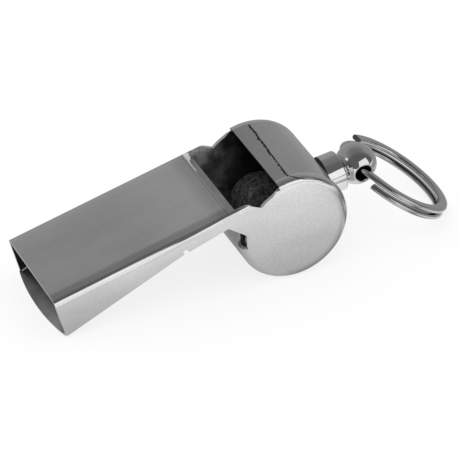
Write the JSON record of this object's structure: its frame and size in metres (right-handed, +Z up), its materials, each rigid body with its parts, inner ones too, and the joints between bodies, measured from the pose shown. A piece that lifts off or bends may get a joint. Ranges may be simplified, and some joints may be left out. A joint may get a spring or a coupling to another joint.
{
  "type": "sports whistle",
  "caption": "Folded sheet-metal pea whistle with a flat tapered mouthpiece, a round barrel with a loose pea, and a swivel that carries a split ring.",
  "frame": {"origin": "on the table under the middle of the whole part's bounds", "axes": "+X from the mouth towards the barrel and the ring, +Y across to the far cheek, +Z up from the table on which barrel, mouthpiece edge and ring rest"},
  "size_m": [0.0722, 0.0202, 0.0187],
  "materials": {
    "nickel": "polished nickel plate on sheet and turned metal",
    "ring_steel": "bright drawn steel wire",
    "cork": "dull dark cork"
  },
  "bodies": {
    "whistle": {"body_shell": "nickel", "mouthpiece_floor": "nickel", "air_ramp": "nickel", "lip_plate": "nickel", "barrel_band": "nickel", "stem_cup": "nickel"},
    "swivel": {"swivel_ball": "nickel", "swivel_washer": "nickel"},
    "ring": {"split_ring": "ring_steel"},
    "pea": {"pea": "cork"}
  },
  "joints": [
    {"name": "swivel_turn", "type": "hinge", "parent": "whistle", "child": "swivel", "pos_m": [0.02032, -0.00046, 0.01169], "axis": [0.9882, 0, 0.153], "continuous": true},
    {"name": "ring_swing", "type": "hinge", "parent": "swivel", "child": "ring", "pos_m": [0.02032, -0.00046, 0.01169], "axis": [-0.0125, 0.9966, 0.081], "range_deg": [-163, 75]},
    {"name": "pea_roll", "type": "hinge", "parent": "whistle", "child": "pea", "pos_m": [0.00525, -0.00046, 0.00936], "axis": [0, 1, 0], "continuous": true}
  ]
}
